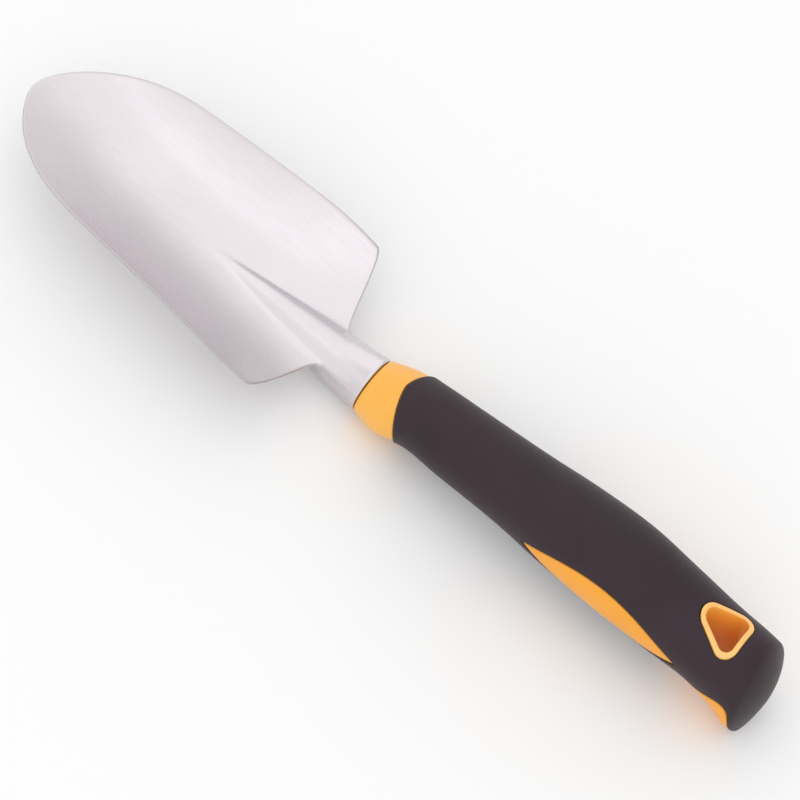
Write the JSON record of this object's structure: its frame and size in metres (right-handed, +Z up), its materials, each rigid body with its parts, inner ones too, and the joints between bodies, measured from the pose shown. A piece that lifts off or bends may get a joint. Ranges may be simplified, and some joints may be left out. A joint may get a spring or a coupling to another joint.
{
  "type": "hand trowel",
  "caption": "Hand trowel: a dished, round-pointed cast metal blade with a ribbed neck on a soft-grip handle with a bright collar, oval side inlays and a rounded-triangle hang hole.",
  "frame": {"origin": "middle of the length and width, on the surface the tool lies on: the butt's lower lip and the underside of the collar touch z = 0", "axes": "+X from the handle to the blade's tip, +Z up out of the scoop, square to the surface it lies on, +Y to the left of a user looking along +X; the tool mirrors across the XZ plane"},
  "size_m": [0.3198, 0.0718, 0.0402],
  "materials": {
    "blade_alloy": "satin polished casting",
    "core_amber": "smooth satin",
    "inlay_amber": "smooth satin",
    "eyelet_orange": "smooth satin",
    "grip_charcoal": "fine matte"
  },
  "bodies": {
    "root": {"blade": "blade_alloy", "handle_core": "core_amber", "grip_sleeve": "grip_charcoal", "left_inlay": "inlay_amber", "right_inlay": "inlay_amber", "heel_inlay": "inlay_amber", "hang_hole_eyelet": "eyelet_orange"}
  },
  "joints": []
}
